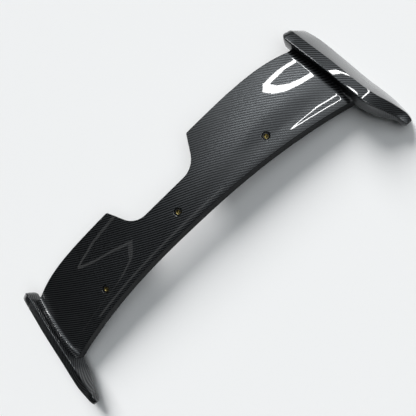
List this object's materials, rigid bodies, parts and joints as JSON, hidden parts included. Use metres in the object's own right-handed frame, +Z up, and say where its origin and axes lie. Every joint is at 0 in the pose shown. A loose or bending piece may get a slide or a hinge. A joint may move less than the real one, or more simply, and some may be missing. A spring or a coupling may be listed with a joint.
{
  "type": "racing rear wing",
  "caption": "Arched carbon-fibre rear wing blade with a notched tail edge, chunky tapered end pods and brass mounting inserts.",
  "frame": {"origin": "middle of the outline on the floor, with the wing standing on its pods, mounting face up", "axes": "+X along the span, +Y from the blunt nose edge to the notched tail edge, +Z up out of the mounting face"},
  "size_m": [1.0912, 0.345, 0.075],
  "materials": {
    "carbon_laminate": "clear-coated twill-weave carbon fibre, high gloss",
    "foam_core": "closed-cell structural foam",
    "mount_block_alloy": "machined",
    "insert_brass": "machined",
    "dowel_steel": "ground"
  },
  "bodies": {
    "root": {"blade_upper_skin": "carbon_laminate", "blade_lower_skin": "carbon_laminate", "shear_web": "carbon_laminate", "tip_rib_left": "carbon_laminate", "tip_rib_right": "carbon_laminate", "pod_outer_skin_left": "carbon_laminate", "pod_outer_skin_right": "carbon_laminate", "pod_inner_skin_left": "carbon_laminate", "pod_inner_skin_right": "carbon_laminate", "nose_core": "foam_core", "aft_core_left": "foam_core", "aft_core_center": "foam_core", "aft_core_right": "foam_core", "outer_mount_core_left": "foam_core", "outer_mount_core_right": "foam_core", "inner_mount_core_left": "foam_core", "inner_mount_core_right": "foam_core", "pod_core_left": "foam_core", "pod_core_right": "foam_core", "mount_block_left": "mount_block_alloy", "mount_block_center": "mount_block_alloy", "mount_block_right": "mount_block_alloy", "threaded_insert_left": "insert_brass", "threaded_insert_center": "insert_brass", "threaded_insert_right": "insert_brass", "dowel_left_1": "dowel_steel", "dowel_left_2": "dowel_steel", "dowel_right_1": "dowel_steel", "dowel_right_2": "dowel_steel"}
  },
  "joints": []
}
